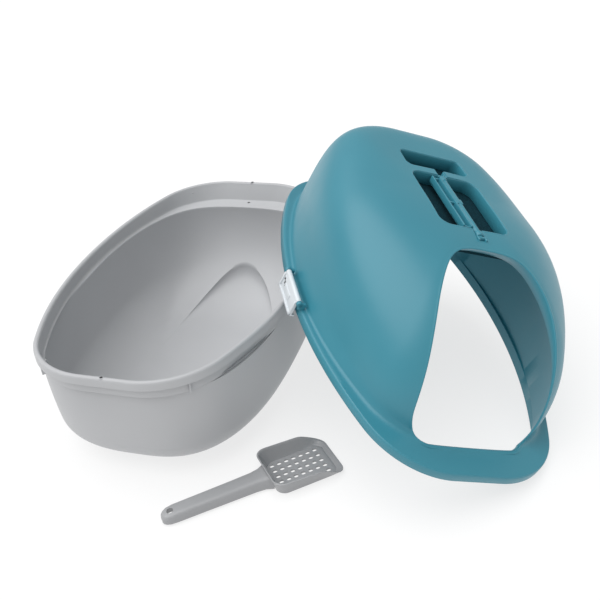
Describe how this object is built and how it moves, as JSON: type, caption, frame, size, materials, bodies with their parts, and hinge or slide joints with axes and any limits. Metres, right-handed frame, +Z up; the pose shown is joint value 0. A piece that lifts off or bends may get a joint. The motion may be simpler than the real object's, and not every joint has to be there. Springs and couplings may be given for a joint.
{
  "type": "cat litter box with hood",
  "caption": "Deep plastic litter pan with a domed hood that has a front doorway, side clips, a folding carry handle, a vent filter and a sifting scoop; the hood lies beside the pan.",
  "frame": {"origin": "centre of the pan's underside, on the floor", "axes": "+Z up, X along the pan's length with the doorway end at -X, Y across the pan; the removed hood lies on the -Y side"},
  "size_m": [0.6207, 0.7149, 0.339],
  "materials": {
    "pan_plastic": "satin moulded polypropylene, light warm grey",
    "hood_plastic": "satin moulded polypropylene, teal blue",
    "clip_plastic": "smooth pale grey plastic",
    "filter_felt": "dark carbon felt",
    "scoop_plastic": "satin moulded grey plastic"
  },
  "bodies": {
    "pan": {"pan": "pan_plastic"},
    "hood": {"hood": "hood_plastic", "filter_pad": "filter_felt"},
    "latch_left": {"latch_left": "clip_plastic"},
    "latch_right": {"latch_right": "clip_plastic"},
    "carry_handle": {"carry_handle": "hood_plastic"},
    "scoop": {"scoop": "scoop_plastic"}
  },
  "joints": [
    {"name": "hood_close", "type": "hinge", "parent": "pan", "child": "hood", "pos_m": [0.4145, -0.114, 0], "axis": [-0.6686, 0.1577, -0.7267], "range_deg": [0, 43.6]},
    {"name": "latch_left_swing", "type": "hinge", "parent": "hood", "child": "latch_left", "pos_m": [-0.08986, -0.19362, 0.2081], "axis": [0.8475, 0.4721, 0.2428], "range_deg": [0, 100]},
    {"name": "latch_right_swing", "type": "hinge", "parent": "hood", "child": "latch_right", "pos_m": [0.1059, -0.46352, 0.04954], "axis": [-0.8475, -0.4721, -0.2428], "range_deg": [0, 100]},
    {"name": "handle_fold", "type": "hinge", "parent": "hood", "child": "carry_handle", "pos_m": [0.03733, -0.39028, 0.27006], "axis": [0.8436, 0.5053, 0.1815], "range_deg": [0, 175]},
    {"name": "scoop_lift", "type": "slide", "parent": "pan", "child": "scoop", "axis": [0, 0, 1], "range_m": [0, 0.08]}
  ]
}
